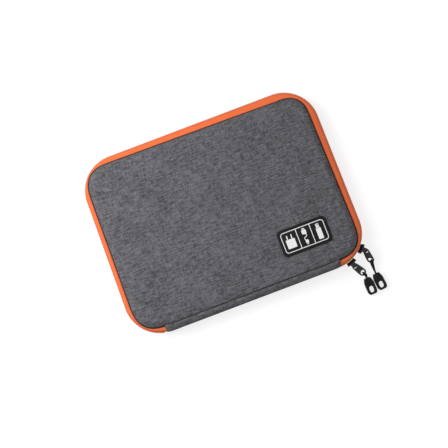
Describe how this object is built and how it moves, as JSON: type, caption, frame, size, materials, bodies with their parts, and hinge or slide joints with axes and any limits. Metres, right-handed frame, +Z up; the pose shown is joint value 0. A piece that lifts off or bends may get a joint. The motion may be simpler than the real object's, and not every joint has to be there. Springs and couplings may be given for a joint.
{
  "type": "cable organizer pouch",
  "caption": "Flat zip-around pouch with padded fabric shells, a folding fabric spine, corner zip pulls with cord grips, and inner elastic bands and pockets.",
  "frame": {"origin": "centre of the flat lower face", "axes": "+X along the long side, -Y towards the folding spine, +Z up through the lid"},
  "size_m": [0.2484, 0.2202, 0.0273],
  "materials": {
    "heather_fabric": "grey melange woven polyester",
    "foam": "moulded foam board",
    "lining": "black woven lining",
    "zip_tape": "orange woven zip tape",
    "zip_coil": "orange nylon coil",
    "binding": "black ribbed binding tape",
    "elastic": "black ribbed elastic",
    "mesh": "black stretch mesh",
    "board": "stiffening board",
    "patch_rubber": "soft moulded rubber",
    "print": "white print",
    "inner_zip_tape": "black woven zip tape",
    "inner_zip_coil": "black nylon coil",
    "slider_metal": "black paint",
    "cord": "black braided cord",
    "grip_rubber": "moulded rubber"
  },
  "bodies": {
    "base": {"base_outer_fabric": "heather_fabric", "base_foam": "foam", "base_lining": "lining", "zip_tape_lower": "zip_tape", "zip_coil_lower": "zip_coil", "base_binding": "binding", "zip_stops_lower": "zip_tape", "elastic_band_back": "elastic", "elastic_band_middle": "elastic", "slip_pocket": "mesh", "slip_pocket_hem": "binding", "card_pockets": "mesh", "card_pocket_hems": "binding"},
    "spine": {"spine_board": "board", "spine_fabric": "heather_fabric", "spine_lining": "lining"},
    "lid": {"lid_outer_fabric": "heather_fabric", "lid_foam": "foam", "lid_lining": "lining", "zip_tape_upper": "zip_tape", "zip_coil_upper": "zip_coil", "lid_binding": "binding", "zip_stops_upper": "zip_tape", "patch_base": "patch_rubber", "patch_frame": "print", "patch_symbols": "print", "pocket_mesh": "mesh", "pocket_edge": "binding", "pocket_zip_tape": "inner_zip_tape", "pocket_zip_coil": "inner_zip_coil"},
    "slider_1": {"slider_1_body": "slider_metal"},
    "slider_2": {"slider_2_body": "slider_metal"},
    "pull_1": {"pull_1_tab": "slider_metal", "pull_1_cord": "cord", "pull_1_grip": "grip_rubber"},
    "pull_2": {"pull_2_tab": "slider_metal", "pull_2_cord": "cord", "pull_2_grip": "grip_rubber"},
    "pocket_slider": {"pocket_slider": "slider_metal"},
    "pocket_pull": {"pocket_pull": "slider_metal"}
  },
  "joints": [
    {"name": "spine_fold", "type": "hinge", "parent": "base", "child": "spine", "pos_m": [0, -0.092, 0.0045], "axis": [1, 0, 0], "range_deg": [0, 82]},
    {"name": "lid_fold", "type": "hinge", "parent": "spine", "child": "lid", "pos_m": [0, -0.092, 0.0215], "axis": [1, 0, 0], "range_deg": [0, 82]},
    {"name": "slider_1_run", "type": "hinge", "parent": "base", "child": "slider_1", "pos_m": [0.0865, -0.056, 0.013], "axis": [0, 0, 1], "range_deg": [0, 40]},
    {"name": "slider_2_run", "type": "hinge", "parent": "base", "child": "slider_2", "pos_m": [0.0865, -0.056, 0.013], "axis": [0, 0, 1], "range_deg": [0, 40]},
    {"name": "pull_1_swing", "type": "hinge", "parent": "slider_1", "child": "pull_1", "pos_m": [0.11714, -0.08559, 0.013], "axis": [0, 0, 1], "range_deg": [0, 75]},
    {"name": "pull_2_swing", "type": "hinge", "parent": "slider_2", "child": "pull_2", "pos_m": [0.10177, -0.09577, 0.013], "axis": [0, 0, 1], "range_deg": [-30, 0]},
    {"name": "pocket_slider_run", "type": "slide", "parent": "lid", "child": "pocket_slider", "axis": [1, 0, 0], "range_m": [0, 0.168]},
    {"name": "pocket_pull_flip", "type": "hinge", "parent": "pocket_slider", "child": "pocket_pull", "pos_m": [-0.084, 0.054, 0.01695], "axis": [0, -1, 0], "range_deg": [0, 170]}
  ],
  "couplings": [
    {"joint": "lid_fold", "follows": "spine_fold", "ratio": 1},
    {"joint": "slider_2_run", "follows": "slider_1_run", "ratio": 1}
  ]
}
